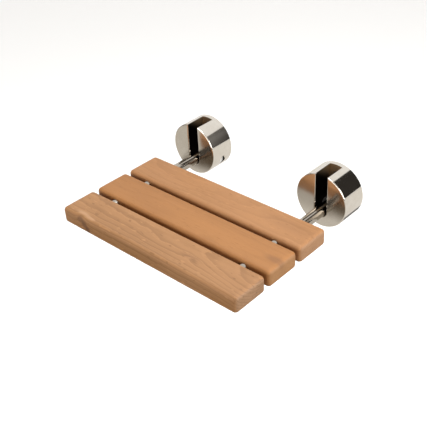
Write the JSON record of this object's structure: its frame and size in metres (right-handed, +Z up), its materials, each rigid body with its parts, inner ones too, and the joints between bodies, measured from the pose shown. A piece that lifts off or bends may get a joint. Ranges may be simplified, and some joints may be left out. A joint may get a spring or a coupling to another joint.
{
  "type": "folding shower seat",
  "caption": "Wall-mounted folding shower seat: rounded teak slats on round rods that hinge up into slotted, polished nickel wall drums.",
  "frame": {"origin": "on the wall's face, midway between the two drums, at the height of the drums' axes", "axes": "+X along the wall, +Y into the wall, +Z up; the seat stands out towards -Y"},
  "size_m": [0.314, 0.2625, 0.08],
  "materials": {
    "teak": "sanded and oiled teak, satin",
    "polished_nickel": "polished nickel plate, slightly warm",
    "rod_steel": "polished stainless bar",
    "fasteners": "plain stainless",
    "wall_plate": "zinc plated steel",
    "bush": "plain acetal",
    "washer": "plain nylon"
  },
  "bodies": {
    "brackets": {"bracket_drum_left": "polished_nickel", "bracket_drum_right": "polished_nickel", "wall_plate_left": "wall_plate", "wall_plate_right": "wall_plate", "drum_screw_lower_left": "fasteners", "drum_screw_lower_right": "fasteners", "drum_screw_upper_left": "fasteners", "drum_screw_upper_right": "fasteners", "hinge_pin_left": "fasteners", "hinge_pin_right": "fasteners", "pin_set_screw_left": "fasteners", "pin_set_screw_right": "fasteners", "thrust_washer_inner_left": "washer", "thrust_washer_inner_right": "washer", "thrust_washer_outer_left": "washer", "thrust_washer_outer_right": "washer"},
    "seat": {"slat_front": "teak", "slat_middle": "teak", "slat_rear": "teak", "rod_left": "rod_steel", "rod_right": "rod_steel", "slat_screw_front_left": "fasteners", "slat_screw_front_right": "fasteners", "slat_screw_middle_left": "fasteners", "slat_screw_middle_right": "fasteners", "slat_screw_rear_left": "fasteners", "slat_screw_rear_right": "fasteners", "pivot_bush_left": "bush", "pivot_bush_right": "bush"}
  },
  "joints": [
    {"name": "seat_fold", "type": "hinge", "parent": "brackets", "child": "seat", "pos_m": [0, -0.017, -0.017], "axis": [-1, 0, 0], "range_deg": [0, 91]}
  ]
}
